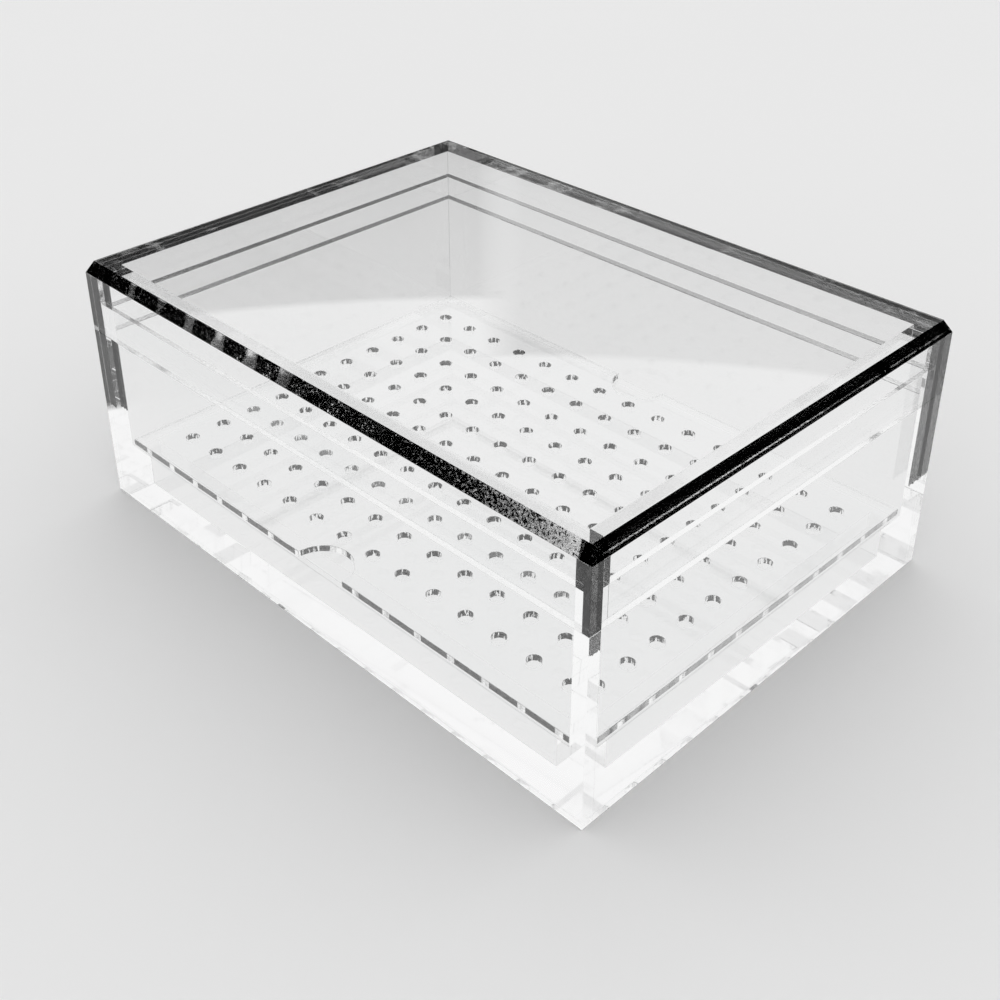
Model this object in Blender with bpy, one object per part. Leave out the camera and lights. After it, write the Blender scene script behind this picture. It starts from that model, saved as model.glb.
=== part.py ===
# Clear acrylic humidor: a double-walled box, a drop-in perforated tray and a lift-off lid.
# Metres, +Z up. The origin is on the table under the middle of the box, long side along X.
# Every sheet is a piece of its own, and bonded sheets stand a glue line apart.

import math

import bmesh
import bpy

# Overall size, the sheet that the walls and lid are cut from, and the thicker floor sheet
BOX_LENGTH = 0.320
BOX_WIDTH = 0.235
BOX_HEIGHT = 0.129
SHEET = 0.006
FLOOR_SHEET = 0.010
GLUE_LINE = 0.0001

# Where the box splits, and how much of the lid's inside depth the standing liner takes up
SPLIT_HEIGHT = 0.0925
TONGUE_SHARE = 0.4918
SEAT_GAP = 0.0003
TONGUE_CLEARANCE = 0.0003

# Chamfer round the top of the lid, through the whole top sheet
BEVEL_INSET = 0.0034

# Tray, its grid of holes and its two finger notches
TRAY_SHEET = 0.0032
TRAY_UNDERSIDE = 0.0304
TRAY_CLEARANCE = 0.00085
HOLE_COUNT_LONG = 14
HOLE_COUNT_SHORT = 10
HOLE_TO_END_EDGE = 0.0191
HOLE_TO_LONG_EDGE = 0.0215
HOLE_RADIUS = 0.0033
HOLE_SIDES = 8
NOTCH_RADIUS = 0.0149
NOTCH_SIDES = 48

# Strips round the foot of the walls that carry the tray
RAIL_WIDTH = 0.0098

# Look of the raw solids
ACRYLIC_COLOUR = (0.93, 0.95, 0.95, 0.30)
ACRYLIC_ROUGHNESS = 0.04
ACRYLIC_INDEX = 1.49
ACRYLIC_TRANSMISSION = 1.0

# Room that a cutter has past the faces it cuts through
CUT_MARGIN = 0.002

HALF_LENGTH = BOX_LENGTH / 2
HALF_WIDTH = BOX_WIDTH / 2
LINER_OUTSIDE = SHEET + TONGUE_CLEARANCE
WALL = LINER_OUTSIDE + SHEET
CAVITY_HALF_LENGTH = HALF_LENGTH - WALL
CAVITY_HALF_WIDTH = HALF_WIDTH - WALL
LID_BOTTOM = SPLIT_HEIGHT + SEAT_GAP
LID_UNDERSIDE = BOX_HEIGHT - SHEET
TONGUE_TOP = SPLIT_HEIGHT + TONGUE_SHARE * (LID_UNDERSIDE - SPLIT_HEIGHT)
TRAY_HALF_LENGTH = CAVITY_HALF_LENGTH - TRAY_CLEARANCE
TRAY_HALF_WIDTH = CAVITY_HALF_WIDTH - TRAY_CLEARANCE


def clear_scene():
    """Start from an empty scene."""
    for thing in list(bpy.data.objects):
        bpy.data.objects.remove(thing)


def acrylic(name):
    """One clear acrylic material for one piece."""
    material = bpy.data.materials.new(name)
    material.use_nodes = True
    shader = material.node_tree.nodes["Principled BSDF"]
    shader.inputs["Base Color"].default_value = ACRYLIC_COLOUR
    shader.inputs["Roughness"].default_value = ACRYLIC_ROUGHNESS
    shader.inputs["IOR"].default_value = ACRYLIC_INDEX
    shader.inputs["Transmission Weight"].default_value = ACRYLIC_TRANSMISSION
    return material


def add_object(name, mesh):
    """Put a finished mesh in the scene under its piece's name."""
    piece = bpy.data.objects.new(name, mesh)
    mesh.materials.append(acrylic(name))
    bpy.context.collection.objects.link(piece)
    return piece


def prism(name, bottom, top):
    """A block between two outlines of the same point count, bottom and top, going round anticlockwise."""
    mesh = bpy.data.meshes.new(name)
    build = bmesh.new()
    low = [build.verts.new(point) for point in bottom]
    high = [build.verts.new(point) for point in top]
    count = len(low)
    build.faces.new(low[::-1])
    build.faces.new(high)
    for i in range(count):
        following = (i + 1) % count
        build.faces.new((low[i], low[following], high[following], high[i]))
    build.to_mesh(mesh)
    build.free()
    return mesh


def rectangle(x_low, x_high, y_low, y_high, z):
    """The four corners of a level rectangle, going round anticlockwise."""
    return [(x_low, y_low, z), (x_high, y_low, z), (x_high, y_high, z), (x_low, y_high, z)]


def block(name, x_span, y_span, z_span):
    """A square-cut sheet or strip."""
    low = rectangle(*x_span, *y_span, z_span[0])
    high = rectangle(*x_span, *y_span, z_span[1])
    return prism(name, low, high)


def add_block(name, x_span, y_span, z_span):
    """A square-cut piece of the box."""
    return add_object(name, block(name, x_span, y_span, z_span))


def span(side, inner, outer):
    """From inner to outer on one side of the middle: side is -1 or 1."""
    return tuple(sorted((side * inner, side * outer)))


def ring_of_sheets(prefix, half_length, half_width, thickness, z_span):
    """Four sheets on edge, butted into a frame: front and back run the full length, the ends fit between them."""
    inner_length = half_length - thickness
    inner_width = half_width - thickness
    for side, word in ((-1, "front"), (1, "back")):
        y_span = span(side, inner_width, half_width)
        add_block(f"{prefix}_{word}", (-half_length, half_length), y_span, z_span)
    reach = inner_width - GLUE_LINE
    for side, word in ((-1, "left"), (1, "right")):
        x_span = span(side, inner_length, half_length)
        add_block(f"{prefix}_{word}", x_span, (-reach, reach), z_span)


def base_floor():
    """The thick floor sheet, held between the outer walls."""
    reach_x = HALF_LENGTH - SHEET - GLUE_LINE
    reach_y = HALF_WIDTH - SHEET - GLUE_LINE
    add_block("base_floor", (-reach_x, reach_x), (-reach_y, reach_y), (0, FLOOR_SHEET))


def base_walls():
    """The outer walls, from the table to the split."""
    ring_of_sheets("base_wall", HALF_LENGTH, HALF_WIDTH, SHEET, (0, SPLIT_HEIGHT))


def base_liners():
    """The inner liners, from the floor to above the split, where they stand into the lid."""
    half_length = HALF_LENGTH - LINER_OUTSIDE
    half_width = HALF_WIDTH - LINER_OUTSIDE
    ring_of_sheets("base_liner", half_length, half_width, SHEET, (FLOOR_SHEET + GLUE_LINE, TONGUE_TOP))


def tray_rails():
    """The strips round the floor that the tray's edge rests on."""
    half_length = CAVITY_HALF_LENGTH - GLUE_LINE
    half_width = CAVITY_HALF_WIDTH - GLUE_LINE
    z_span = (FLOOR_SHEET + GLUE_LINE, TRAY_UNDERSIDE - SEAT_GAP)
    ring_of_sheets("tray_rail", half_length, half_width, RAIL_WIDTH, z_span)


def lid_top():
    """The lid's top sheet, chamfered all round."""
    low = rectangle(-HALF_LENGTH, HALF_LENGTH, -HALF_WIDTH, HALF_WIDTH, LID_UNDERSIDE)
    reach_x = HALF_LENGTH - BEVEL_INSET
    reach_y = HALF_WIDTH - BEVEL_INSET
    high = rectangle(-reach_x, reach_x, -reach_y, reach_y, BOX_HEIGHT)
    add_object("lid_top", prism("lid_top", low, high))


def lid_walls():
    """The lid's outer walls, which sit on the walls of the box."""
    z_span = (LID_BOTTOM, LID_UNDERSIDE - GLUE_LINE)
    ring_of_sheets("lid_wall", HALF_LENGTH, HALF_WIDTH, SHEET, z_span)


def lid_liners():
    """The lid's inner liners, which end above the box's liners and make the inside flush."""
    half_length = HALF_LENGTH - LINER_OUTSIDE
    half_width = HALF_WIDTH - LINER_OUTSIDE
    z_span = (TONGUE_TOP + SEAT_GAP, LID_UNDERSIDE - GLUE_LINE)
    ring_of_sheets("lid_liner", half_length, half_width, SHEET, z_span)


def circle(centre_x, centre_y, radius, sides, z):
    """The corners of a level regular polygon round a centre, going round anticlockwise."""
    turn = 2 * math.pi / sides
    angles = [(i + 1 / 2) * turn for i in range(sides)]
    return [(centre_x + radius * math.cos(a), centre_y + radius * math.sin(a), z) for a in angles]


def grid(count, reach):
    """Evenly spaced positions of a row of holes, from -reach to reach."""
    pitch = 2 * reach / (count - 1)
    return [pitch * i - reach for i in range(count)]


def tray_cutter(name, shapes):
    """A hidden cutter made of upright prisms through the tray, each (x, y, radius, sides)."""
    low = TRAY_UNDERSIDE - CUT_MARGIN
    high = TRAY_UNDERSIDE + TRAY_SHEET + CUT_MARGIN
    joined = bmesh.new()
    for x, y, radius, sides in shapes:
        mesh = prism(name, circle(x, y, radius, sides, low), circle(x, y, radius, sides, high))
        joined.from_mesh(mesh)
        bpy.data.meshes.remove(mesh)
    mesh = bpy.data.meshes.new(name)
    joined.to_mesh(mesh)
    joined.free()
    cutter = bpy.data.objects.new(name, mesh)
    bpy.context.collection.objects.link(cutter)
    cutter.hide_render = True
    cutter.display_type = "WIRE"
    return cutter


def cut(piece, cutter):
    """Take the cutter out of the piece."""
    modifier = piece.modifiers.new(cutter.name, "BOOLEAN")
    modifier.operation = "DIFFERENCE"
    modifier.solver = "EXACT"
    modifier.object = cutter


def tray():
    """The perforated tray, with a finger notch in the middle of each long edge."""
    x_span = (-TRAY_HALF_LENGTH, TRAY_HALF_LENGTH)
    y_span = (-TRAY_HALF_WIDTH, TRAY_HALF_WIDTH)
    z_span = (TRAY_UNDERSIDE, TRAY_UNDERSIDE + TRAY_SHEET)
    plate = add_block("tray_plate", x_span, y_span, z_span)
    columns = grid(HOLE_COUNT_LONG, TRAY_HALF_LENGTH - HOLE_TO_END_EDGE)
    rows = grid(HOLE_COUNT_SHORT, TRAY_HALF_WIDTH - HOLE_TO_LONG_EDGE)
    holes = [(x, y, HOLE_RADIUS, HOLE_SIDES) for x in columns for y in rows]
    cut(plate, tray_cutter("cut_holes", holes))
    notches = [(0, side * TRAY_HALF_WIDTH, NOTCH_RADIUS, NOTCH_SIDES) for side in (-1, 1)]
    cut(plate, tray_cutter("cut_notches", notches))


def main():
    clear_scene()
    base_floor()
    base_walls()
    base_liners()
    tray_rails()
    tray()
    lid_top()
    lid_walls()
    lid_liners()


main()
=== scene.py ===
"""Looks of a clear acrylic humidor: bonded sheets, a perforated tray and a lift-off lid, in a pale studio."""

import math

import bpy
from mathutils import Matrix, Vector


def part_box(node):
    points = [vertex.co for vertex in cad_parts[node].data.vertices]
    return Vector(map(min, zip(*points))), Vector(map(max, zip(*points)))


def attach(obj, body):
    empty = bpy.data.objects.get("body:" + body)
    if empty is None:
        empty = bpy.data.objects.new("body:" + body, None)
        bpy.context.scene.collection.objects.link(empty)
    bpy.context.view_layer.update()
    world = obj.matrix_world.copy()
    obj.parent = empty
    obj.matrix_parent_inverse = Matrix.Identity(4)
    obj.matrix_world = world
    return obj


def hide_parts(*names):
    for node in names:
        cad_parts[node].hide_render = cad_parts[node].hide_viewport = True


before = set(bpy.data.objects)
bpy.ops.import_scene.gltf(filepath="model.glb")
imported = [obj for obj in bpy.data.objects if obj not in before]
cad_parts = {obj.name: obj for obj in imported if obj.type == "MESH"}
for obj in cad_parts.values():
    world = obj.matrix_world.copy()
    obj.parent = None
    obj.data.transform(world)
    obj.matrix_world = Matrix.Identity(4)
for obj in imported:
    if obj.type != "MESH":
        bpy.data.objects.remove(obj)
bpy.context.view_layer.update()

bl_info = {
    "name": "Acrylic Humidor",
    "version": (1, 0, 0),
    "blender": (4, 5, 0),
    "location": "View3D > Sidebar > Humidor",
    "description": "Finishes the sheets, tray and lid of a clear acrylic humidor and lights it",
    "category": "Object",
}

MM = 0.001
WHITE = (1.0, 1.0, 1.0, 1.0)

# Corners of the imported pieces, from which the joints between bonded sheets are found
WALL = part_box("base_wall_front")
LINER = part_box("base_liner_front")
LINER_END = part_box("base_liner_left")
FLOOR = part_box("base_floor")
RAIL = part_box("tray_rail_front")
RAIL_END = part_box("tray_rail_left")
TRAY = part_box("tray_plate")
LID_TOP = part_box("lid_top")
LID_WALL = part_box("lid_wall_front")
LID_WALL_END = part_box("lid_wall_left")
LID_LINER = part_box("lid_liner_front")
LID_LINER_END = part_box("lid_liner_left")

BASE_WALLS = ["base_wall_front", "base_wall_back", "base_wall_left", "base_wall_right"]
BASE_LINERS = ["base_liner_front", "base_liner_back", "base_liner_left", "base_liner_right"]
TRAY_RAILS = ["tray_rail_front", "tray_rail_back", "tray_rail_left", "tray_rail_right"]
LID_WALLS = ["lid_wall_front", "lid_wall_back", "lid_wall_left", "lid_wall_right"]
LID_LINERS = ["lid_liner_front", "lid_liner_back", "lid_liner_left", "lid_liner_right"]

# How far the chamfer round the lid's top sheet leans in over the sheet's thickness
CHAMFER_LEAN = 3.4 / 6.0
# Cement line between two bonded sheets, and how deep the zone is that holds the stained face of a joint
GLUE_LINE = 0.1 * MM
JOINT_REACH = 1.5 * GLUE_LINE
# A face counts as bonded when it lies at least this deep inside the finished shape
JOINT_DEPTH = 0.05 * MM
# How near to an upright or a level face a point has to lie to be on it
FACE_SLACK = 0.02 * MM
LEVEL_SLACK = 0.01 * MM
# Bounds for the sides of a hollow that is open at its bottom or top
FAR_BELOW, FAR_ABOVE = -1.0, 1.0

# Painted deep shade for the dark corner joint faces, right ends, lid chamfer and the walls of the holes, and
# the painted shade on the level faces where the box splits
DEEP_SHADE = (0.0006, 0.0006, 0.0006, 1.0)
SPLIT_SHADE = (0.02, 0.02, 0.02, 1.0)
# Rays with fewer bends than this see the painted shade on the joints at the corners and on the tray's dark
# edges. Holes farther than
# FAR_HOLES from the front and the right show through the lid's walls too, which bend a ray more often
DIRECT_BENDS = 3.0
HOLE_BENDS = 5.0
FAR_HOLES = 60.0 * MM
# Width of the strip of painted grey shade at the right rear, and the heights down to which the right ends
# get painted grey shade, rear and front, in the box and in the lid
REAR_GREY = 17.0 * MM
BOX_ENDS = (52.0 * MM, 86.0 * MM)
LID_ENDS = (0.0, 0.0)
# How far the lower ends of the painted grey strips and the painted dark corners waver, and how dense the
# painted grey is
RAGGED_ENDS = 4.0 * MM
GREY_DENSITY = (0.95, 0.98)

# Painted dashes of shade along the tray's rim, which stand in for the holes seen bent through it: where they
# start, in steps from a hole's middle, their two ends as shares of a step, each as a short ramp, and their
# shades on the long and the short sides
SIDE_DASH_SHIFT = 0.29
END_DASH_SHIFT = 0.43
DASH_START = (0.1, 0.11)
DASH_END = (0.89, 0.9)
SIDE_DASH_SHADE = (0.002, 0.002, 0.002, 1.0)
END_DASH_SHADE = (0.15, 0.15, 0.15, 1.0)
# Whole steps added to a count of holes, so that it is never negative
WHOLE_STEPS = 10.0

# Pale spots left clear in the painted shade on the lid's front chamfer: their step and start, their size as
# shares of a step, and where along the chamfer they fade in and out
SPOT_PITCH = 22.6 * MM
SPOT_START = 359.4 * MM
SPOT_SIZE = (0.07, 0.17)
SPOT_WAVER = 0.5
SPOTS_IN = (-138.0 * MM, -128.0 * MM)
SPOTS_OUT = (-35.0 * MM, 0.0)
# Specks on it: where they start and are densest, how much denser, and the noise above which there is one
SPECKS_RISE = (75.0 * MM, 154.0 * MM)
SPECKS_GAIN = 0.24
SPECK_LEVEL = 0.635
# Scuffs on it: how much they gather in streaks, and the noise above which there is one
SCUFF_GATHER = 0.2
SCUFF_LEVEL = 0.78
# Fine bright line left clear in the painted shade on the lid's other chamfers: its height, waver and edge
LINE_HEIGHT = 124.6 * MM
LINE_WAVER = 0.5 * MM
LINE_EDGE = (0.16 * MM, 0.3 * MM)

# Dark bars of painted shade on the walls of the holes: where they begin, across a hole, how much they are
# drawn out upright, and the noise between which a bar starts
FAR_HALF = (-1.0 * MM, 0.0)
BAR_STRETCH = (1.0, 1.0, 0.25)
BAR_LEVEL = (0.42, 0.47)

# Cut edges are roughest at the front: where that ends, as a ramp across the box, and how rough the rest is
ROUGH_FRONT = (-100.0 * MM, -90.0 * MM)
SMOOTH_REST = 0.25
# How fine tool marks are, how strong they and their grain are on the walls, and how strong on the lid's top
MARKS_SCALE = 600.0
WALL_MARKS = 0.03
WALL_GRAIN = 0.15
TOP_MARKS = 0.003
# How far above the underside of the lid's top sheet its chamfer begins
CHAMFER_START = 0.05 * MM
# Roughness where a sheet is smeared most
SMEARS = 0.02

# Tray mesh: sides of a hole and of a notch, height of the cutters, the angle above which an edge is sharp,
# how far from the edge a wall is a rim, and below which upward part of its normal a face is upright
HOLE_SIDES = 24
NOTCH_SIDES = 96
CUTTER_HEIGHT = 12.0 * MM
SHARP_EDGE = math.radians(40)
RIM_DEPTH = 1.0 * MM
UPRIGHT = 0.5

# Table: its width, how far it lies below the box, and how dark its faint grain is
TABLE_SIZE = 30.0
TABLE_DROP = 0.3 * MM
TABLE_GRAIN = 0.985
# Darker panels on the studio's walls, which draw the edges of clear sheet: from which turn to which, in
# degrees clockwise from the back, from which height to which, as the sine of the climb, and how bright
WALL_PANELS = (
    (-88.0, -44.0, 0.27, 0.45, 0.12),
    (-46.0, 8.0, 0.27, 0.486, 0.4),
    (50.0, 82.0, 0.17, 0.5, 0.01),
    (28.0, 58.0, 0.06, 0.19, 0.006),
    (-154.0, -112.0, 0.1, 0.26, 0.006),
)
# How soft the panels' upright and level edges are
PANEL_EDGE = 2.0
PANEL_RISE = 0.004

# Camera: place, pitch below the horizon, turn to the left, and lens
CAMERA_PLACE = (0.4016, -0.4024, 0.4096)
CAMERA_PITCH = math.radians(29.47)
CAMERA_TURN = math.radians(45.0)
SENSOR_WIDTH = 36.0
LENS = 50.49
LENS_SHIFT = -0.1326
VIEW_END = 100.0
# How often a ray may bend, and how many open faces it may pass
BENDS = 36
OPEN_FACES = 96


def deselect_all():
    """Deselect every object, because an operator acts on all that is selected."""
    for thing in bpy.context.selected_objects:
        thing.select_set(False)


def pick(obj):
    """Make one object the only selected and active one."""
    deselect_all()
    obj.select_set(True)
    bpy.context.view_layer.objects.active = obj


def settle(obj, name):
    """Name a new object and its mesh, and move its place into the mesh."""
    obj.name = name
    obj.data.name = name
    pick(obj)
    bpy.ops.object.transform_apply(location=True, rotation=True, scale=True)


class Tree:
    """Adds and joins nodes in one node tree."""

    def __init__(self, tree):
        self.tree = tree

    def add(self, kind, settings=None, **inputs):
        """A new node. Inputs are given by socket name with _ for a space, as a value or another socket."""
        node = self.tree.nodes.new(kind)
        for key, value in (settings or {}).items():
            setattr(node, key, value)
        for key, value in inputs.items():
            self.feed(node.inputs[key.replace("_", " ")], value)
        return node

    def feed(self, socket, value):
        """Set a socket, or join another one to it."""
        if isinstance(value, bpy.types.NodeSocket):
            self.tree.links.new(value, socket)
        else:
            socket.default_value = value

    def maths(self, operation, *values):
        """The result of one Math node."""
        node = self.add("ShaderNodeMath", {"operation": operation})
        for socket, value in zip(node.inputs, values):
            self.feed(socket, value)
        return node.outputs[0]

    def least(self, *values):
        """The smallest of several values."""
        result = values[0]
        for value in values[1:]:
            result = self.maths("MINIMUM", result, value)
        return result

    def most(self, *values):
        """The largest of several values."""
        result = values[0]
        for value in values[1:]:
            result = self.maths("MAXIMUM", result, value)
        return result

    def within(self, value, low, high):
        """1 where a value lies between low and high."""
        above = self.maths("GREATER_THAN", value, low)
        return self.maths("MULTIPLY", above, self.maths("LESS_THAN", value, high))

    def noise(self, position, scale, detail, roughness):
        """The value of one Noise Texture."""
        node = self.add(
            "ShaderNodeTexNoise", Vector=position, Scale=scale, Detail=detail, Roughness=roughness
        )
        return node.outputs["Fac"]

    def group(self, name, position, values=None):
        """The outputs of one use of a shader group, with its values given by socket name."""
        node = self.add("ShaderNodeGroup", {"node_tree": group_named(name)}, Position=position)
        for key, value in (values or {}).items():
            node.inputs[key].default_value = value
        return node.outputs

    def ramp(self, value, low, high, to_low=0.0, to_high=1.0):
        """A value spread from low..high to to_low..to_high and held there."""
        node = self.add("ShaderNodeMapRange", {"clamp": True}, Value=value)
        for key, number in (
            ("From Min", low),
            ("From Max", high),
            ("To Min", to_low),
            ("To Max", to_high),
        ):
            self.feed(node.inputs[key], number)
        return node.outputs["Result"]

    def blend(self, factor, first, second):
        """A colour between two others."""
        node = self.add("ShaderNodeMix", {"data_type": "RGBA"}, Factor=factor)
        colours = [socket for socket in node.inputs if socket.type == "RGBA"]
        self.feed(colours[0], first)
        self.feed(colours[1], second)
        return [socket for socket in node.outputs if socket.type == "RGBA"][0]


def new_group(name, inputs, outputs):
    """An empty shader node group with named sockets, each (name, type, default)."""
    group = bpy.data.node_groups.new(name, "ShaderNodeTree")
    for label, kind, default in inputs:
        socket = group.interface.new_socket(name=label, in_out="INPUT", socket_type=kind)
        if default is not None:
            socket.default_value = default
    for label, kind in outputs:
        group.interface.new_socket(name=label, in_out="OUTPUT", socket_type=kind)
    tree = Tree(group)
    return group, tree, tree.add("NodeGroupInput").outputs, tree.add("NodeGroupOutput").inputs


def block_depth_group():
    """How deep a point lies inside an upright block centred on the Z axis; negative outside."""
    group, tree, given, out = new_group(
        "block depth",
        [
            ("Position", "NodeSocketVector", None),
            ("Half Length", "NodeSocketFloat", 0.1),
            ("Half Width", "NodeSocketFloat", 0.1),
            ("Bottom", "NodeSocketFloat", 0.0),
            ("Top", "NodeSocketFloat", 0.1),
        ],
        [("Depth", "NodeSocketFloat")],
    )
    split = tree.add("ShaderNodeSeparateXYZ", Vector=given["Position"]).outputs
    across = tree.maths("SUBTRACT", given["Half Length"], tree.maths("ABSOLUTE", split["X"]))
    along = tree.maths("SUBTRACT", given["Half Width"], tree.maths("ABSOLUTE", split["Y"]))
    up = tree.maths("SUBTRACT", split["Z"], given["Bottom"])
    down = tree.maths("SUBTRACT", given["Top"], split["Z"])
    tree.feed(out["Depth"], tree.least(across, along, up, down))
    return group


def depth_in(tree, position, half_length, half_width, bottom, top):
    """How deep a point lies inside one block."""
    sizes = {"Half Length": half_length, "Half Width": half_width, "Bottom": bottom, "Top": top}
    return tree.group("block depth", position, sizes)["Depth"]


def box_joints_group():
    """Alpha of the box's sheets: 0 where two sheets are cemented face to face, 1 on every free face."""
    group, tree, given, out = new_group(
        "box joints",
        [("Position", "NodeSocketVector", None)],
        [("Alpha", "NodeSocketFloat")],
    )
    position = given["Position"]
    walls = depth_in(tree, position, WALL[1][0], -WALL[0][1], WALL[0][2], WALL[1][2])
    liners = depth_in(tree, position, LINER[1][0], -LINER[0][1], FLOOR[1][2], LINER[1][2])
    solid = tree.most(walls, liners)
    under_tray = depth_in(tree, position, -RAIL_END[1][0], -RAIL[1][1], FLOOR[1][2], FAR_ABOVE)
    inside = depth_in(tree, position, -LINER_END[1][0], -LINER[1][1], RAIL[1][2], FAR_ABOVE)
    hollow = tree.maths("MULTIPLY", tree.most(under_tray, inside), -1.0)
    free = tree.maths("LESS_THAN", tree.least(solid, hollow), JOINT_DEPTH)
    tree.feed(out["Alpha"], free)
    return group


def lid_joints_group():
    """Alpha of the lid's sheets: 0 where two sheets are cemented face to face, 1 on every free face."""
    group, tree, given, out = new_group(
        "lid joints",
        [("Position", "NodeSocketVector", None)],
        [("Alpha", "NodeSocketFloat")],
    )
    position = given["Position"]
    outer = depth_in(tree, position, LID_WALL[1][0], -LID_WALL[0][1], LID_WALL[0][2], LID_TOP[1][2])
    split = tree.add("ShaderNodeSeparateXYZ", Vector=position).outputs
    height = tree.maths("SUBTRACT", split["Z"], LID_TOP[0][2])
    lean = tree.maths("MULTIPLY", tree.maths("MAXIMUM", height, 0.0), CHAMFER_LEAN)
    long_side = tree.maths("SUBTRACT", LID_WALL[1][0], tree.maths("ABSOLUTE", split["X"]))
    short_side = tree.maths("SUBTRACT", -LID_WALL[0][1], tree.maths("ABSOLUTE", split["Y"]))
    chamfer = tree.maths("SUBTRACT", tree.least(long_side, short_side), lean)
    solid = tree.least(outer, chamfer)
    inside = depth_in(tree, position, -LID_LINER_END[1][0], -LID_LINER[1][1], FAR_BELOW, LID_TOP[0][2])
    recess = depth_in(tree, position, -LID_WALL_END[1][0], -LID_WALL[1][1], FAR_BELOW, LID_LINER[0][2])
    hollow = tree.maths("MULTIPLY", tree.most(inside, recess), -1.0)
    free = tree.maths("LESS_THAN", tree.least(solid, hollow), JOINT_DEPTH)
    tree.feed(out["Alpha"], free)
    return group


def ragged(tree, position):
    """Streaks, and the height wavered by them, for the ragged lower ends of the painted grey strips and the
    painted dark corners.
    """
    streaks = tree.noise(position, scale=500.0, detail=2.0, roughness=0.6)
    height = tree.add("ShaderNodeSeparateXYZ", Vector=position).outputs["Z"]
    return streaks, tree.maths("ADD", height, tree.maths("MULTIPLY", streaks, RAGGED_ENDS))


def corner_shade_group():
    """Painted shade on the upright joints at the corners, where they look dark: 1 on their faces, down to a
    ragged lower end.
    """
    group, tree, given, out = new_group(
        "corner shade",
        [("Position", "NodeSocketVector", None), ("Bottom", "NodeSocketFloat", 0.0)],
        [("Fac", "NodeSocketFloat")],
    )
    split = tree.add("ShaderNodeSeparateXYZ", Vector=given["Position"]).outputs
    across = tree.maths("ABSOLUTE", split["X"])
    along = tree.maths("ABSOLUTE", split["Y"])
    side = tree.maths("SIGN", split["Y"])

    def joint(start, end, line):
        off = tree.maths("SUBTRACT", along, line - GLUE_LINE / 2)
        behind = tree.maths("MULTIPLY", off, side)
        on_line = tree.within(behind, 0.0, JOINT_REACH)
        return tree.maths("MULTIPLY", tree.within(across, start, end), on_line)

    outer = joint(-LID_WALL_END[1][0], WALL[1][0] - FACE_SLACK, -WALL[1][1])
    inner = joint(-LINER_END[1][0] - FACE_SLACK, -LINER_END[0][0] + FACE_SLACK, -LINER[1][1])
    level = ragged(tree, given["Position"])[1]
    right = tree.maths("GREATER_THAN", split["X"], 0.0)
    near = tree.maths("MULTIPLY", right, tree.maths("LESS_THAN", split["Y"], 0.0))
    rear = tree.maths("SUBTRACT", right, near)
    # Painted shade at the near corner is in the lid only, and at the right rear corner in its outer joint
    # only
    elsewhere = tree.maths("SUBTRACT", 1.0, near)
    shown = tree.most(
        tree.maths("MULTIPLY", near, tree.maths("GREATER_THAN", split["Z"], WALL[1][2])),
        tree.maths("MULTIPLY", elsewhere, tree.maths("GREATER_THAN", level, given["Bottom"])),
    )
    inner = tree.maths("MULTIPLY", inner, tree.maths("SUBTRACT", 1.0, rear))
    tree.feed(out["Fac"], tree.maths("MULTIPLY", tree.most(outer, inner), shown))
    return group


def right_end_shade_group():
    """Painted grey shade at the right ends, wide at the rear and one sheet wide at the front, down to ragged
    lower ends.
    """
    group, tree, given, out = new_group(
        "right end shade",
        [
            ("Position", "NodeSocketVector", None),
            ("Rear Bottom", "NodeSocketFloat", 0.0),
            ("Front Bottom", "NodeSocketFloat", 0.0),
        ],
        [("Fac", "NodeSocketFloat")],
    )
    split = tree.add("ShaderNodeSeparateXYZ", Vector=given["Position"]).outputs
    streaks, level = ragged(tree, given["Position"])
    rear = tree.maths(
        "MULTIPLY",
        tree.maths("GREATER_THAN", split["Y"], -WALL[0][1] - REAR_GREY),
        tree.maths("GREATER_THAN", level, given["Rear Bottom"]),
    )
    front = tree.maths(
        "MULTIPLY",
        tree.maths("LESS_THAN", split["Y"], WALL[1][1]),
        tree.maths("GREATER_THAN", level, given["Front Bottom"]),
    )
    on_end = tree.maths("GREATER_THAN", split["X"], WALL[1][0] - FACE_SLACK)
    high = tree.maths("MULTIPLY", tree.most(rear, front), on_end)
    tree.feed(out["Fac"], tree.maths("MULTIPLY", high, tree.ramp(streaks, 0.3, 0.6, *GREY_DENSITY)))
    return group


def split_faces_group():
    """Sawn level faces at the back and left, 1 where painted shade darkens them."""
    group, tree, given, out = new_group(
        "split faces",
        [
            ("Position", "NodeSocketVector", None),
            ("Low", "NodeSocketFloat", 0.0),
            ("High", "NodeSocketFloat", 1.0),
        ],
        [("Fac", "NodeSocketFloat")],
    )
    split = tree.add("ShaderNodeSeparateXYZ", Vector=given["Position"]).outputs
    band = tree.within(split["Z"], given["Low"], given["High"])
    back = tree.maths("GREATER_THAN", split["Y"], -LINER[1][1])
    left = tree.maths("LESS_THAN", split["X"], LINER_END[1][0])
    streaks = tree.noise(given["Position"], scale=60.0, detail=3.0, roughness=0.7)
    # Painted shade on the split faces, in streaks
    painted_shade = tree.ramp(streaks, 0.3, 0.45, to_low=0.6)
    tree.feed(out["Fac"], tree.maths("MULTIPLY", tree.maths("MULTIPLY", band, tree.most(back, left)), painted_shade))
    return group


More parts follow.
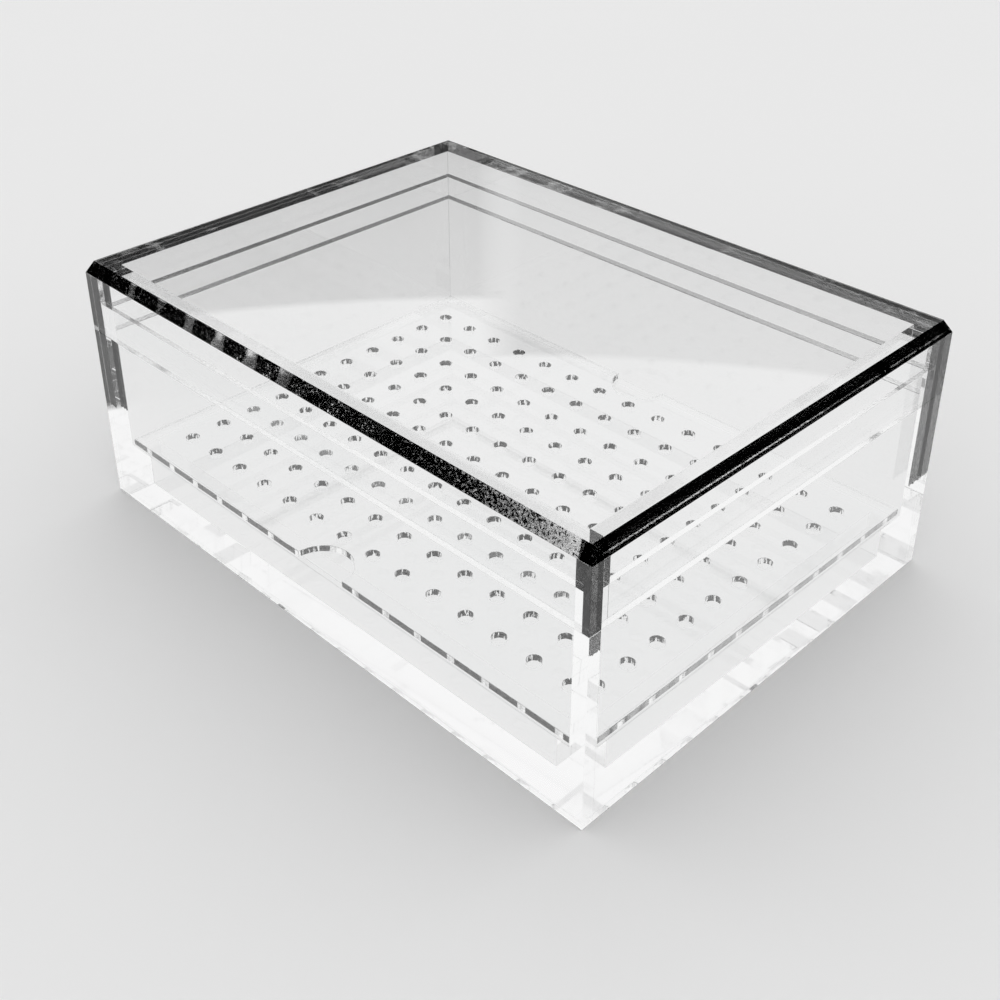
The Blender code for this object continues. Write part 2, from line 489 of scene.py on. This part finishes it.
def tray_edge_group():
    """Painted shade in dark dashes along the front and right of the tray's rim, one for each hole of the row
    beside it, standing in for the holes seen bent through the rim.
    """
    group, tree, given, out = new_group(
        "tray edge",
        [
            ("Position", "NodeSocketVector", None),
            ("Reach X", "NodeSocketFloat", 0.1),
            ("Reach Y", "NodeSocketFloat", 0.1),
            ("Pitch X", "NodeSocketFloat", 0.02),
            ("Pitch Y", "NodeSocketFloat", 0.02),
            ("Side Shade", "NodeSocketColor", (0.0, 0.0, 0.0, 1.0)),
            ("End Shade", "NodeSocketColor", (0.2, 0.2, 0.2, 1.0)),
        ],
        [("Color", "NodeSocketColor")],
    )
    split = tree.add("ShaderNodeSeparateXYZ", Vector=given["Position"]).outputs

    def dashes(position, reach, pitch, shift):
        steps = tree.maths("DIVIDE", tree.maths("ADD", position, reach), pitch)
        part = tree.maths("FRACT", tree.maths("ADD", steps, WHOLE_STEPS + shift))
        return tree.least(tree.ramp(part, *DASH_START), tree.ramp(part, *DASH_END, 1.0, 0.0))

    sides = dashes(split["X"], given["Reach X"], given["Pitch X"], SIDE_DASH_SHIFT)
    ends = dashes(split["Y"], given["Reach Y"], given["Pitch Y"], END_DASH_SHIFT)
    on_end = tree.maths("GREATER_THAN", tree.maths("ABSOLUTE", split["X"]), TRAY[1][0] - FACE_SLACK)
    side_colour = tree.blend(sides, WHITE, given["Side Shade"])
    end_colour = tree.blend(ends, WHITE, given["End Shade"])
    shade = tree.blend(on_end, side_colour, end_colour)
    front = tree.maths("LESS_THAN", split["Y"], FACE_SLACK - TRAY[1][1])
    right = tree.maths("GREATER_THAN", split["X"], TRAY[1][0] - FACE_SLACK)
    tree.feed(out["Color"], tree.blend(tree.maths("MAXIMUM", front, right), WHITE, shade))
    return group


def lid_chamfer_group():
    """The lid's chamfer, painted dark with shade, with pale spots, specks and a fine line left unpainted that
    let light through.
    """
    group, tree, given, out = new_group(
        "lid chamfer",
        [
            ("Position", "NodeSocketVector", None),
            ("Low", "NodeSocketFloat", 0.0),
            ("High", "NodeSocketFloat", 1.0),
            ("Shade", "NodeSocketColor", (0.0, 0.0, 0.0, 1.0)),
        ],
        [("Color", "NodeSocketColor")],
    )
    split = tree.add("ShaderNodeSeparateXYZ", Vector=given["Position"]).outputs
    along, level = split["X"], split["Z"]
    band = tree.within(level, given["Low"], given["High"])
    noise = tree.noise(given["Position"], scale=950.0, detail=2.0, roughness=0.7)
    streaks = tree.noise(given["Position"], scale=70.0, detail=2.0, roughness=0.6)
    long_side = tree.maths("LESS_THAN", split["Y"], LID_WALL[1][1])
    # Pale spots at the left of the front chamfer
    step = tree.maths("FRACT", tree.maths("DIVIDE", tree.maths("ADD", along, SPOT_START), SPOT_PITCH))
    spot = tree.maths("ABSOLUTE", tree.maths("SUBTRACT", step, 0.5))
    spot = tree.maths("ADD", spot, tree.maths("MULTIPLY", tree.maths("SUBTRACT", streaks, 0.5), SPOT_WAVER))
    spots = tree.least(
        tree.ramp(spot, *SPOT_SIZE, 1.0, 0.0),
        tree.ramp(along, *SPOTS_IN),
        tree.ramp(along, *SPOTS_OUT, 1.0, 0.0),
    )
    # Fine specks towards the near corner
    reach = tree.ramp(along, *SPECKS_RISE, 0.0, SPECKS_GAIN)
    specks = tree.maths("GREATER_THAN", tree.maths("ADD", noise, reach), SPECK_LEVEL)
    specks = tree.maths("MULTIPLY", specks, tree.maths("LESS_THAN", along, -LID_WALL_END[1][0]))
    gather = tree.maths("MULTIPLY", streaks, SCUFF_GATHER)
    scuffs = tree.maths("GREATER_THAN", tree.maths("ADD", noise, gather), SCUFF_LEVEL)
    pale = tree.maths("MULTIPLY", tree.most(spots, specks, scuffs), long_side)
    # A fine bright line low on the other sides
    waver = tree.maths("MULTIPLY", tree.maths("SUBTRACT", noise, 0.5), LINE_WAVER)
    off = tree.maths("ABSOLUTE", tree.maths("SUBTRACT", tree.maths("ADD", level, waver), LINE_HEIGHT))
    line = tree.maths(
        "MULTIPLY", tree.ramp(off, *LINE_EDGE, 1.0, 0.0), tree.maths("SUBTRACT", 1.0, long_side)
    )
    # Painted shade over the chamfer band, except where it is left pale
    dark = tree.maths("MULTIPLY", band, tree.maths("SUBTRACT", 1.0, tree.most(pale, line)))
    tree.feed(out["Color"], tree.blend(dark, WHITE, given["Shade"]))
    return group


def hole_shade_group():
    """Laser-cut walls of the holes, with painted shade: dark bars between clear streaks on the far half, seen
    from the front right.
    """
    group, tree, given, out = new_group(
        "hole shade",
        [
            ("Position", "NodeSocketVector", None),
            ("Reach X", "NodeSocketFloat", 0.1),
            ("Reach Y", "NodeSocketFloat", 0.1),
            ("Pitch X", "NodeSocketFloat", 0.02),
            ("Pitch Y", "NodeSocketFloat", 0.02),
            ("Dark", "NodeSocketColor", (0.0, 0.0, 0.0, 1.0)),
        ],
        [("Color", "NodeSocketColor")],
    )
    split = tree.add("ShaderNodeSeparateXYZ", Vector=given["Position"]).outputs

    def from_middle(position, reach, pitch):
        steps = tree.maths("DIVIDE", tree.maths("ADD", position, reach), pitch)
        part = tree.maths("FRACT", tree.maths("ADD", steps, WHOLE_STEPS + 0.5))
        return tree.maths("MULTIPLY", tree.maths("SUBTRACT", part, 0.5), pitch)

    across = from_middle(split["X"], given["Reach X"], given["Pitch X"])
    along = from_middle(split["Y"], given["Reach Y"], given["Pitch Y"])
    far = tree.ramp(tree.maths("SUBTRACT", along, across), *FAR_HALF)
    upright = tree.add("ShaderNodeVectorMath", {"operation": "MULTIPLY"})
    tree.feed(upright.inputs[0], given["Position"])
    tree.feed(upright.inputs[1], BAR_STRETCH)
    bars = tree.noise(upright.outputs["Vector"], scale=620.0, detail=2.0, roughness=0.7)
    dark = tree.maths("MULTIPLY", tree.ramp(bars, *BAR_LEVEL), far)
    tree.feed(out["Color"], tree.blend(dark, WHITE, given["Dark"]))
    return group


def cast_sheet_group():
    """Cast sheet: a barely grey tint that drifts in depth, and cloudy smears left by handling."""
    group, tree, given, out = new_group(
        "cast sheet",
        [
            ("Position", "NodeSocketVector", None),
            ("Clear", "NodeSocketColor", WHITE),
            ("Deep", "NodeSocketColor", (0.9, 0.9, 0.9, 1.0)),
            ("Smears", "NodeSocketFloat", 0.02),
        ],
        [("Color", "NodeSocketColor"), ("Roughness", "NodeSocketFloat")],
    )
    cloud = tree.noise(given["Position"], scale=16.0, detail=1.0, roughness=0.6)
    tree.feed(out["Color"], tree.blend(tree.ramp(cloud, 0.3, 0.7), given["Clear"], given["Deep"]))
    tree.feed(out["Roughness"], tree.ramp(cloud, 0.56, 0.8, 0.0, given["Smears"]))
    return group


def cut_edge_group():
    """Sawn and polished edge of a sheet: where it is, its tool marks and its small chips."""
    group, tree, given, out = new_group(
        "cut edge",
        [
            ("Position", "NodeSocketVector", None),
            ("Low", "NodeSocketFloat", 0.0),
            ("High", "NodeSocketFloat", 1.0),
            ("Marks", "NodeSocketFloat", 0.1),
            ("Grain", "NodeSocketFloat", 0.1),
            ("Scale", "NodeSocketFloat", MARKS_SCALE),
        ],
        [("Roughness", "NodeSocketFloat"), ("Height", "NodeSocketFloat")],
    )
    split = tree.add("ShaderNodeSeparateXYZ", Vector=given["Position"]).outputs
    mask = tree.within(split["Z"], given["Low"], given["High"])
    marks = tree.noise(given["Position"], scale=given["Scale"], detail=2.0, roughness=0.65)
    tree.feed(out["Height"], tree.maths("MULTIPLY", tree.maths("MULTIPLY", marks, given["Marks"]), mask))
    rough = tree.maths("MULTIPLY", tree.ramp(split["Y"], *ROUGH_FRONT, 1.0, SMOOTH_REST), given["Grain"])
    chips = tree.maths("MULTIPLY", tree.ramp(marks, 0.3, 0.6, to_low=0.35), rough)
    tree.feed(out["Roughness"], tree.maths("MULTIPLY", chips, mask))
    return group


GROUP_BUILDERS = {
    "block depth": block_depth_group,
    "box joints": box_joints_group,
    "lid joints": lid_joints_group,
    "corner shade": corner_shade_group,
    "right end shade": right_end_shade_group,
    "split faces": split_faces_group,
    "tray edge": tray_edge_group,
    "lid chamfer": lid_chamfer_group,
    "hole shade": hole_shade_group,
    "cast sheet": cast_sheet_group,
    "cut edge": cut_edge_group,
}


def group_named(name):
    """A shader node group, built the first time that it is asked for."""
    if name not in GROUP_BUILDERS:
        raise ValueError(f"no shader group is called {name}")
    return bpy.data.node_groups.get(name) or GROUP_BUILDERS[name]()


def seen_directly(tree, position, bends):
    """1 for rays that have bent few times: fewer than bends far from the front and right, else the usual."""
    limit = DIRECT_BENDS
    if bends > DIRECT_BENDS:
        split = tree.add("ShaderNodeSeparateXYZ", Vector=position).outputs
        from_right = tree.maths("SUBTRACT", WALL[1][0], split["X"])
        inward = tree.least(from_right, tree.maths("SUBTRACT", split["Y"], WALL[0][1]))
        far = tree.maths("GREATER_THAN", inward, FAR_HOLES)
        limit = tree.maths("ADD", tree.maths("MULTIPLY", far, bends - DIRECT_BENDS), DIRECT_BENDS)
    return tree.maths("LESS_THAN", tree.add("ShaderNodeLightPath").outputs["Ray Depth"], limit)


def acrylic_material(
    name, joints=None, edge=None, marks=0.02, grain=0.1, ends=None, tint=None, bends=DIRECT_BENDS
):
    """Clear acrylic.

    Joints names the group that opens its cemented faces. Edge is the height band that is cut, with its
    tool marks and grain. Ends holds the heights down to which painted grey shade covers the right rear and
    the right front; painted shade darkens the split faces, and the joints at the corners down to the first
    of them. Tint is a group that paints shade into the colour, with its sizes. The painted shade of the
    joints at the corners and of the tint is seen only by rays that have bent few times, so that it doesn't
    come back as mirror images; with bends None, every ray sees the tint.
    """
    settings = bpy.context.scene.humidor_acrylic
    material = bpy.data.materials.new(name)
    material.use_nodes = True
    tree = Tree(material.node_tree)
    shader = material.node_tree.nodes["Principled BSDF"]
    position = tree.add("ShaderNodeTexCoord").outputs["Object"]
    shader.inputs["IOR"].default_value = settings.index
    shader.inputs["Transmission Weight"].default_value = 1.0
    tints = {"Clear": (*settings.clear, 1.0), "Deep": (*settings.deep, 1.0), "Smears": SMEARS}
    sheet = tree.group("cast sheet", position, tints)
    colour, roughness = sheet["Color"], sheet["Roughness"]
    # The tint group paints shade into the colour
    if tint:
        painted_shade = tree.group(tint[0], position, tint[1])["Color"]
        colour = tree.blend(seen_directly(tree, position, bends), colour, painted_shade) if bends else painted_shade
    if ends:
        # Painted shade on the split faces
        faces = tree.group("split faces", position, {"Low": edge[0], "High": edge[1]})
        colour = tree.blend(faces["Fac"], colour, SPLIT_SHADE)
        # Painted grey shade at the right ends
        painted_ends = tree.group("right end shade", position, {"Rear Bottom": ends[0], "Front Bottom": ends[1]})
        colour = tree.blend(painted_ends["Fac"], colour, DEEP_SHADE)
        # Painted dark shade on the joints at the corners
        corner = tree.group("corner shade", position, {"Bottom": ends[0]})["Fac"]
        corner = tree.maths("MULTIPLY", corner, seen_directly(tree, position, bends))
        colour = tree.blend(corner, colour, DEEP_SHADE)
    tree.feed(shader.inputs["Base Color"], colour)
    if edge:
        sizes = {"Low": edge[0], "High": edge[1], "Marks": marks, "Grain": grain, "Scale": MARKS_SCALE}
        cut = tree.group("cut edge", position, sizes)
        roughness = tree.maths("ADD", roughness, cut["Roughness"])
        bump = tree.add("ShaderNodeBump", Strength=1.0, Distance=MM, Height=cut["Height"])
        tree.feed(shader.inputs["Normal"], bump.outputs["Normal"])
    tree.feed(shader.inputs["Roughness"], roughness)
    if joints:
        alpha = tree.group(joints, position)["Alpha"]
        if ends:
            alpha = tree.maths("MAXIMUM", alpha, corner)
        tree.feed(shader.inputs["Alpha"], alpha)
    return material


def top_band(box):
    """The height band that holds a piece's level top face and nothing below it."""
    return box[1][2] - LEVEL_SLACK, box[1][2] + MM


def bottom_band(box):
    """The height band that holds a piece's level lower face and nothing above it."""
    return box[0][2] - MM, box[0][2] + LEVEL_SLACK


def wall_material(name, joints, band, ends):
    """Clear acrylic of a wall or liner, with a level edge cut by saw, painted grey shade at its right ends
    and painted shade on its split faces and corners.
    """
    return acrylic_material(name, joints, band, WALL_MARKS, WALL_GRAIN, ends=ends)


def finish_nodes(names, material):
    """Give CAD nodes their finish."""
    for name in names:
        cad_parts[name].material_slots[0].material = material


class HumidorAcrylic(bpy.types.PropertyGroup):
    """The sheet that the humidor is made of."""

    index: bpy.props.FloatProperty(
        name="Refractive index", description="How strongly the acrylic bends light", default=1.49
    )
    clear: bpy.props.FloatVectorProperty(
        name="Clear tint",
        description="Colour of the sheet where it is clearest",
        subtype="COLOR",
        size=3,
        min=0.0,
        max=1.0,
        default=(1.0, 1.0, 1.0),
    )
    deep: bpy.props.FloatVectorProperty(
        name="Deep tint",
        description="Colour of the sheet where it is deepest",
        subtype="COLOR",
        size=3,
        min=0.0,
        max=1.0,
        default=(0.985, 0.988, 0.988),
    )


class HumidorTray(bpy.types.PropertyGroup):
    """The tray's grid of vent holes and its finger notches."""

    hole_radius: bpy.props.FloatProperty(
        name="Hole radius", description="Radius of a vent hole", default=3.3 * MM, unit="LENGTH"
    )
    count_long: bpy.props.IntProperty(
        name="Holes along", description="Vent holes along the length", default=14
    )
    count_short: bpy.props.IntProperty(
        name="Holes across", description="Vent holes across the width", default=10
    )
    end_margin: bpy.props.FloatProperty(
        name="End margin",
        description="From the tray's short edge to the first hole's middle",
        default=19.1 * MM,
        unit="LENGTH",
    )
    side_margin: bpy.props.FloatProperty(
        name="Side margin",
        description="From the tray's long edge to the first hole's middle",
        default=21.5 * MM,
        unit="LENGTH",
    )
    notch_radius: bpy.props.FloatProperty(
        name="Notch radius", description="Radius of a finger notch", default=14.9 * MM, unit="LENGTH"
    )
    edge_break: bpy.props.FloatProperty(
        name="Edge break", description="Width of the broken edge", default=0.15 * MM, unit="LENGTH"
    )


class HumidorStage(bpy.types.PropertyGroup):
    """The pale table and the soft light round it."""

    floor_colour: bpy.props.FloatVectorProperty(
        name="Table colour",
        description="Colour of the table",
        subtype="COLOR",
        size=3,
        min=0.0,
        max=1.0,
        default=(0.86, 0.86, 0.86),
    )
    seen_through: bpy.props.FloatProperty(
        name="Table through sheet",
        description="Brightness of the table seen through sheet or mirrored in it",
        default=0.81,
    )
    light: bpy.props.FloatProperty(
        name="Studio light", description="Brightness of the white light all round", default=0.95
    )
    backdrop: bpy.props.FloatProperty(
        name="Backdrop", description="Brightness of the backdrop in plain sight", default=0.88
    )


class HUMIDOR_OT_base_floor(bpy.types.Operator):
    """Finish the thick floor sheet"""

    bl_idname = "humidor.base_floor"
    bl_label = "Floor Sheet"

    def execute(self, context):
        material = acrylic_material("floor_acrylic", "box joints")
        finish_nodes(["base_floor"], material)
        return {"FINISHED"}


class HUMIDOR_OT_base_walls(bpy.types.Operator):
    """Finish the outer walls of the box"""

    bl_idname = "humidor.base_walls"
    bl_label = "Outer Walls"

    def execute(self, context):
        material = wall_material("wall_acrylic", "box joints", top_band(WALL), BOX_ENDS)
        finish_nodes(BASE_WALLS, material)
        return {"FINISHED"}


class HUMIDOR_OT_base_liners(bpy.types.Operator):
    """Finish the inner liners that stand up into the lid"""

    bl_idname = "humidor.base_liners"
    bl_label = "Inner Liners"

    def execute(self, context):
        material = wall_material("liner_acrylic", "box joints", top_band(LINER), BOX_ENDS)
        finish_nodes(BASE_LINERS, material)
        return {"FINISHED"}


class HUMIDOR_OT_tray_rails(bpy.types.Operator):
    """Finish the strips that carry the tray"""

    bl_idname = "humidor.tray_rails"
    bl_label = "Tray Rails"

    def execute(self, context):
        material = acrylic_material("rail_acrylic", "box joints", top_band(RAIL))
        finish_nodes(TRAY_RAILS, material)
        return {"FINISHED"}


class HUMIDOR_OT_tray(bpy.types.Operator):
    """Model the perforated tray with its finger notches"""

    bl_idname = "humidor.tray"
    bl_label = "Perforated Tray"

    def execute(self, context):
        settings = context.scene.humidor_tray
        plate = build_tray(settings)
        reach = [TRAY[1][0] - settings.end_margin, TRAY[1][1] - settings.side_margin]
        grid = {
            "Reach X": reach[0],
            "Reach Y": reach[1],
            "Pitch X": 2 * reach[0] / (settings.count_long - 1),
            "Pitch Y": 2 * reach[1] / (settings.count_short - 1),
        }
        # Painted shade on the far half of each hole's walls
        bars = {**grid, "Dark": DEEP_SHADE}
        # Painted shade in dashes along the rim
        dashes = {**grid, "Side Shade": SIDE_DASH_SHADE, "End Shade": END_DASH_SHADE}
        band = (TRAY[0][2] - MM, TRAY[1][2] + MM)
        sheet = acrylic_material("tray_acrylic")
        cut = acrylic_material("tray_cut_edge", None, band, tint=("hole shade", bars), bends=HOLE_BENDS)
        rim = acrylic_material("tray_rim", None, band, tint=("tray edge", dashes))
        plate.data.materials.clear()
        for material in (sheet, cut, rim):
            plate.data.materials.append(material)
        reach_x, reach_y = TRAY[1][0] - RIM_DEPTH, TRAY[1][1] - RIM_DEPTH
        for face in plate.data.polygons:
            inner = abs(face.center.x) < reach_x and abs(face.center.y) < reach_y
            upright = abs(face.normal.z) < UPRIGHT
            face.material_index = (1 if inner else 2) if upright else 0
        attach(plate, "tray")
        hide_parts("tray_plate")
        return {"FINISHED"}


class HUMIDOR_OT_lid(bpy.types.Operator):
    """Finish the lid's chamfered top, walls and liners"""

    bl_idname = "humidor.lid"
    bl_label = "Lid"

    def execute(self, context):
        band = (LID_TOP[0][2] + CHAMFER_START, LID_TOP[1][2] - FACE_SLACK)
        # Painted shade over the lid's chamfer
        tint = ("lid chamfer", {"Low": band[0], "High": band[1], "Shade": DEEP_SHADE})
        top = acrylic_material("lid_acrylic", "lid joints", band, TOP_MARKS, 0.0, tint=tint, bends=None)
        finish_nodes(["lid_top"], top)
        # Painted grey shade over the right ends of the lid's walls and liners, and painted shade on their
        # split faces and corners
        walls = wall_material("lid_wall_acrylic", "lid joints", bottom_band(LID_WALL), LID_ENDS)
        finish_nodes(LID_WALLS, walls)
        liners = wall_material("lid_liner_acrylic", "lid joints", bottom_band(LID_LINER), LID_ENDS)
        finish_nodes(LID_LINERS, liners)
        return {"FINISHED"}


class HUMIDOR_OT_stage(bpy.types.Operator):
    """Set up the pale table, the soft light and the camera"""

    bl_idname = "humidor.stage"
    bl_label = "Stage"

    def execute(self, context):
        settings = context.scene.humidor_stage
        add_table(settings)
        light_room(settings)
        place_camera()
        context.scene.view_settings.view_transform = "Standard"
        set_bounces()
        return {"FINISHED"}


def row(count, reach):
    """Evenly spaced positions from -reach to reach."""
    return [reach * (2 * i / (count - 1) - 1) for i in range(count)]


def cylinder_cutter(name, radius, sides, places):
    """One mesh of upright cylinders through the tray, at these places."""
    middle = (TRAY[0][2] + TRAY[1][2]) / 2
    deselect_all()
    bpy.ops.mesh.primitive_cylinder_add(
        vertices=sides, radius=radius, depth=CUTTER_HEIGHT, location=(*places[0], middle)
    )
    first = bpy.context.active_object
    settle(first, name)
    copies = [first]
    for x, y in places[1:]:
        copy = first.copy()
        copy.data = first.data.copy()
        copy.location = (x - places[0][0], y - places[0][1], 0.0)
        bpy.context.collection.objects.link(copy)
        copies.append(copy)
    deselect_all()
    for copy in copies:
        copy.select_set(True)
    bpy.context.view_layer.objects.active = first
    bpy.ops.object.join()
    return first


def carve(piece, cutter):
    """Cut the cutter out of the piece and remove the cutter."""
    modifier = piece.modifiers.new("carve", "BOOLEAN")
    modifier.operation = "DIFFERENCE"
    modifier.solver = "EXACT"
    modifier.object = cutter
    pick(piece)
    bpy.ops.object.modifier_apply(modifier=modifier.name)
    bpy.data.objects.remove(cutter)


def build_tray(settings):
    """The tray sheet with round vent holes and two finger notches."""
    size = [high - low for low, high in zip(*TRAY)]
    middle = [(low + high) / 2 for low, high in zip(*TRAY)]
    deselect_all()
    bpy.ops.mesh.primitive_cube_add(size=1, location=middle, scale=size)
    plate = bpy.context.active_object
    settle(plate, "perforated_tray")
    half_length, half_width = size[0] / 2, size[1] / 2
    columns = row(settings.count_long, half_length - settings.end_margin)
    rows = row(settings.count_short, half_width - settings.side_margin)
    places = [(x, y) for x in columns for y in rows]
    carve(plate, cylinder_cutter("hole_cutter", settings.hole_radius, HOLE_SIDES, places))
    notches = [(0.0, -half_width), (0.0, half_width)]
    carve(plate, cylinder_cutter("notch_cutter", settings.notch_radius, NOTCH_SIDES, notches))
    bevel = plate.modifiers.new("edge_break", "BEVEL")
    bevel.width = settings.edge_break
    bevel.segments = 1
    bevel.limit_method = "ANGLE"
    bevel.angle_limit = SHARP_EDGE
    pick(plate)
    bpy.ops.object.modifier_apply(modifier=bevel.name)
    bpy.ops.object.shade_smooth_by_angle(angle=SHARP_EDGE)
    return plate


def add_table(settings):
    """A wide pale table top, which clear sheet shows plain and evenly bright."""
    deselect_all()
    bpy.ops.mesh.primitive_plane_add(size=TABLE_SIZE, location=(0.0, 0.0, -TABLE_DROP))
    table = bpy.context.active_object
    settle(table, "table_top")
    material = bpy.data.materials.new("table_paint")
    material.use_nodes = True
    material.cycles.emission_sampling = "NONE"
    tree = Tree(material.node_tree)
    shader = material.node_tree.nodes["Principled BSDF"]
    position = tree.add("ShaderNodeTexCoord").outputs["Object"]
    grain = tree.noise(position, scale=3.0, detail=3.0, roughness=0.5)
    paint = (*settings.floor_colour, 1.0)
    worn = (*[TABLE_GRAIN * part for part in settings.floor_colour], 1.0)
    tree.feed(shader.inputs["Base Color"], tree.blend(grain, paint, worn))
    shader.inputs["Roughness"].default_value = 0.7
    path = tree.add("ShaderNodeLightPath").outputs
    through = tree.maths("MAXIMUM", path["Is Glossy Ray"], path["Is Transmission Ray"])
    white = tree.add("ShaderNodeEmission", Color=WHITE, Strength=settings.seen_through)
    mix = tree.add("ShaderNodeMixShader")
    tree.feed(mix.inputs[0], through)
    tree.feed(mix.inputs[1], shader.outputs["BSDF"])
    tree.feed(mix.inputs[2], white.outputs["Emission"])
    tree.feed(material.node_tree.nodes["Material Output"].inputs["Surface"], mix.outputs["Shader"])
    table.data.materials.append(material)


def light_room(settings):
    """Even white light all round, with darker panels in reflections, and a plain pale backdrop."""
    world = bpy.data.worlds.new("studio")
    bpy.context.scene.world = world
    world.use_nodes = True
    tree = Tree(world.node_tree)
    background = world.node_tree.nodes["Background"]
    direction = tree.add("ShaderNodeTexCoord").outputs["Generated"]
    split = tree.add("ShaderNodeSeparateXYZ", Vector=direction).outputs
    turn = tree.maths("DEGREES", tree.maths("ARCTAN2", split["X"], split["Y"]))
    studio = (*[settings.light] * 3, 1.0)
    for start, end, low, high, shade in WALL_PANELS:
        inside = tree.least(
            tree.ramp(turn, start, start + PANEL_EDGE),
            tree.ramp(turn, end - PANEL_EDGE, end, 1.0, 0.0),
            tree.ramp(split["Z"], low, low + PANEL_RISE),
            tree.ramp(split["Z"], high - PANEL_RISE, high, 1.0, 0.0),
        )
        studio = tree.blend(inside, studio, (*[shade] * 3, 1.0))
    path = tree.add("ShaderNodeLightPath").outputs
    seen = tree.maths("MAXIMUM", path["Is Glossy Ray"], path["Is Transmission Ray"])
    studio = tree.blend(seen, (*[settings.light] * 3, 1.0), studio)
    pale = (*[settings.backdrop] * 3, 1.0)
    tree.feed(background.inputs["Color"], tree.blend(path["Is Camera Ray"], studio, pale))


def place_camera():
    """The camera at the photograph's viewpoint."""
    data = bpy.data.cameras.new("camera")
    camera = bpy.data.objects.new("camera", data)
    bpy.context.collection.objects.link(camera)
    data.sensor_width = SENSOR_WIDTH
    data.lens = LENS
    data.shift_y = LENS_SHIFT
    data.clip_end = VIEW_END
    camera.location = CAMERA_PLACE
    level = math.cos(CAMERA_PITCH)
    aim = Vector(
        (-level * math.sin(CAMERA_TURN), level * math.cos(CAMERA_TURN), -math.sin(CAMERA_PITCH))
    )
    camera.rotation_euler = aim.to_track_quat("-Z", "Y").to_euler()
    bpy.context.scene.camera = camera


def set_bounces():
    """Let light through the many faces of clear sheet."""
    cycles = bpy.context.scene.cycles
    cycles.max_bounces = BENDS
    cycles.glossy_bounces = BENDS
    cycles.transmission_bounces = BENDS
    cycles.transparent_max_bounces = OPEN_FACES


class HUMIDOR_PT_panel(bpy.types.Panel):
    """Lists the humidor's pieces and the stage"""

    bl_idname = "HUMIDOR_PT_panel"
    bl_label = "Acrylic Humidor"
    bl_space_type = "VIEW_3D"
    bl_region_type = "UI"
    bl_category = "Humidor"

    def draw(self, context):
        layout = self.layout
        for group in (
            context.scene.humidor_acrylic,
            context.scene.humidor_tray,
            context.scene.humidor_stage,
        ):
            box = layout.box()
            for key in group.bl_rna.properties.keys():
                if key not in ("rna_type", "name"):
                    box.prop(group, key)
        for operator in OPERATORS:
            layout.operator(operator.bl_idname)


GROUPS = (HumidorAcrylic, HumidorTray, HumidorStage)
OPERATORS = (
    HUMIDOR_OT_base_floor,
    HUMIDOR_OT_base_walls,
    HUMIDOR_OT_base_liners,
    HUMIDOR_OT_tray_rails,
    HUMIDOR_OT_tray,
    HUMIDOR_OT_lid,
    HUMIDOR_OT_stage,
)


def register():
    for kind in (*GROUPS, *OPERATORS, HUMIDOR_PT_panel):
        bpy.utils.register_class(kind)
    bpy.types.Scene.humidor_acrylic = bpy.props.PointerProperty(type=HumidorAcrylic)
    bpy.types.Scene.humidor_tray = bpy.props.PointerProperty(type=HumidorTray)
    bpy.types.Scene.humidor_stage = bpy.props.PointerProperty(type=HumidorStage)


def unregister():
    del bpy.types.Scene.humidor_stage
    del bpy.types.Scene.humidor_tray
    del bpy.types.Scene.humidor_acrylic
    for kind in reversed((*GROUPS, *OPERATORS, HUMIDOR_PT_panel)):
        bpy.utils.unregister_class(kind)


def main():
    register()
    bpy.ops.humidor.base_floor()
    bpy.ops.humidor.base_walls()
    bpy.ops.humidor.base_liners()
    bpy.ops.humidor.tray_rails()
    bpy.ops.humidor.tray()
    bpy.ops.humidor.lid()
    bpy.ops.humidor.stage()


if __name__ == "__main__":
    main()
